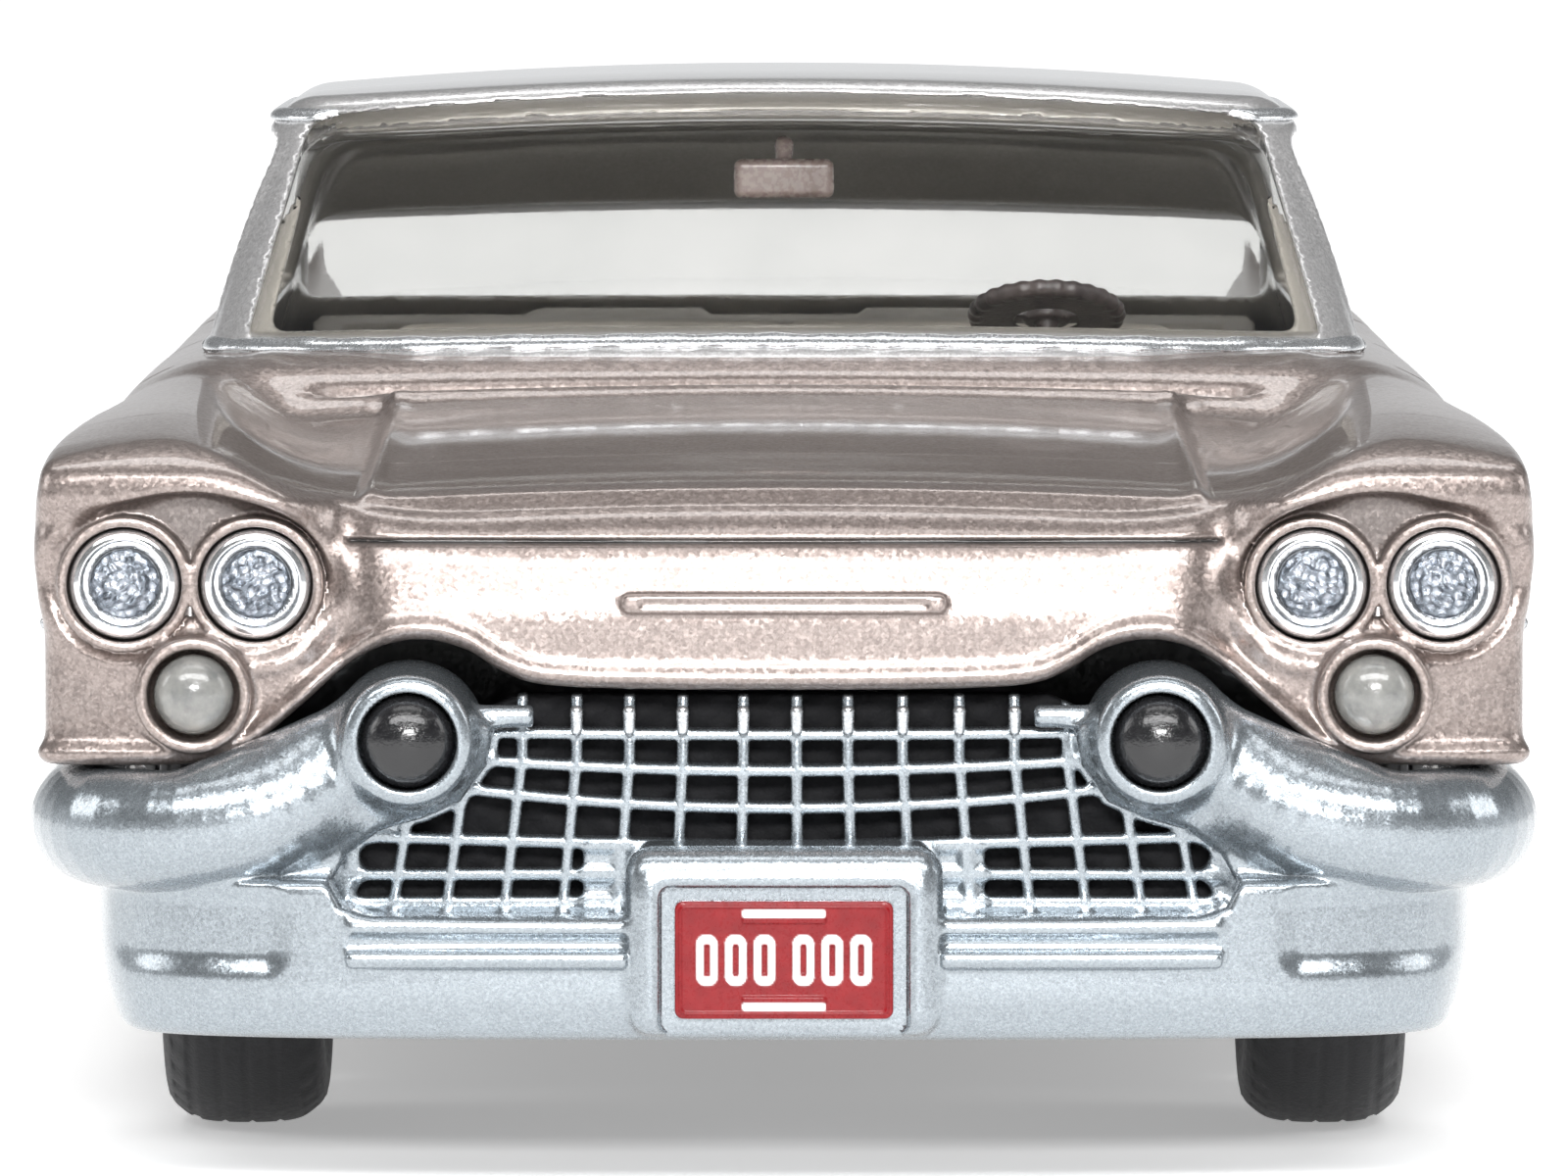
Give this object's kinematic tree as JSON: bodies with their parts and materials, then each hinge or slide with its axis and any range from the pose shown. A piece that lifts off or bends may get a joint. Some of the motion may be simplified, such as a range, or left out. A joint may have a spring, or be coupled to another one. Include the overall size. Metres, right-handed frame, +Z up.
{
  "type": "die-cast collector car",
  "caption": "Small-scale die-cast hardtop saloon car of the late 1950s with a bright grille, bumpers, clear glazing and a fitted cabin; its wheelsets roll.",
  "frame": {"origin": "on the ground under the middle of the car's length and width", "axes": "+Z up, the nose faces -Y and the tail +Y, +X to the car's own left (driver's) side"},
  "size_m": [0.0228, 0.0632, 0.0162],
  "materials": {
    "paint": "rose-beige metallic lacquer with fine flake; roof, pillars and trim in bright silver",
    "clear": "clear, slightly smoky moulded plastic",
    "cabin_plastic": "satin beige-grey",
    "seat_plastic": "satin",
    "black_plastic": "satin black",
    "mirror_plastic": "gloss",
    "bright_trim": "bright silver paint on cast or moulded trim",
    "black_gloss": "gloss black",
    "lamp_bright": "bright plated bezels with pebbled lenses",
    "lamp_lens": "smoky clear dome",
    "plate_red": "printed red, white digits",
    "red_lens": "clear red",
    "chassis_black": "satin black",
    "steel": "drawn",
    "wheel_bright": "bright plated",
    "tyre": "soft black rubber, fine tread"
  },
  "bodies": {
    "car": {"body_shell": "paint", "glazing": "clear", "interior_tray": "cabin_plastic", "front_seat": "seat_plastic", "rear_seat": "seat_plastic", "dashboard": "cabin_plastic", "steering_wheel": "black_plastic", "rear_view_mirror": "mirror_plastic", "front_bumper": "bright_trim", "grille": "bright_trim", "bumper_bullets": "black_gloss", "headlamps_left": "lamp_bright", "headlamps_right": "lamp_bright", "front_indicators": "lamp_lens", "front_number_plate": "plate_red", "rear_bumper": "bright_trim", "tail_lamps": "red_lens", "rear_number_plate": "plate_red", "chassis": "chassis_black", "chassis_screws": "steel"},
    "front_wheelset": {"front_axle_rod": "steel", "wheel_front_left": "wheel_bright", "wheel_front_right": "wheel_bright", "tyre_front_left": "tyre", "tyre_front_right": "tyre"},
    "rear_wheelset": {"rear_axle_rod": "steel", "wheel_rear_left": "wheel_bright", "wheel_rear_right": "wheel_bright", "tyre_rear_left": "tyre", "tyre_rear_right": "tyre"}
  },
  "joints": [
    {"name": "front_axle_roll", "type": "hinge", "parent": "car", "child": "front_wheelset", "pos_m": [0, -0.021, 0.00415], "axis": [1, 0, 0], "continuous": true},
    {"name": "rear_axle_roll", "type": "hinge", "parent": "car", "child": "rear_wheelset", "pos_m": [0, 0.0158, 0.00415], "axis": [1, 0, 0], "continuous": true}
  ]
}
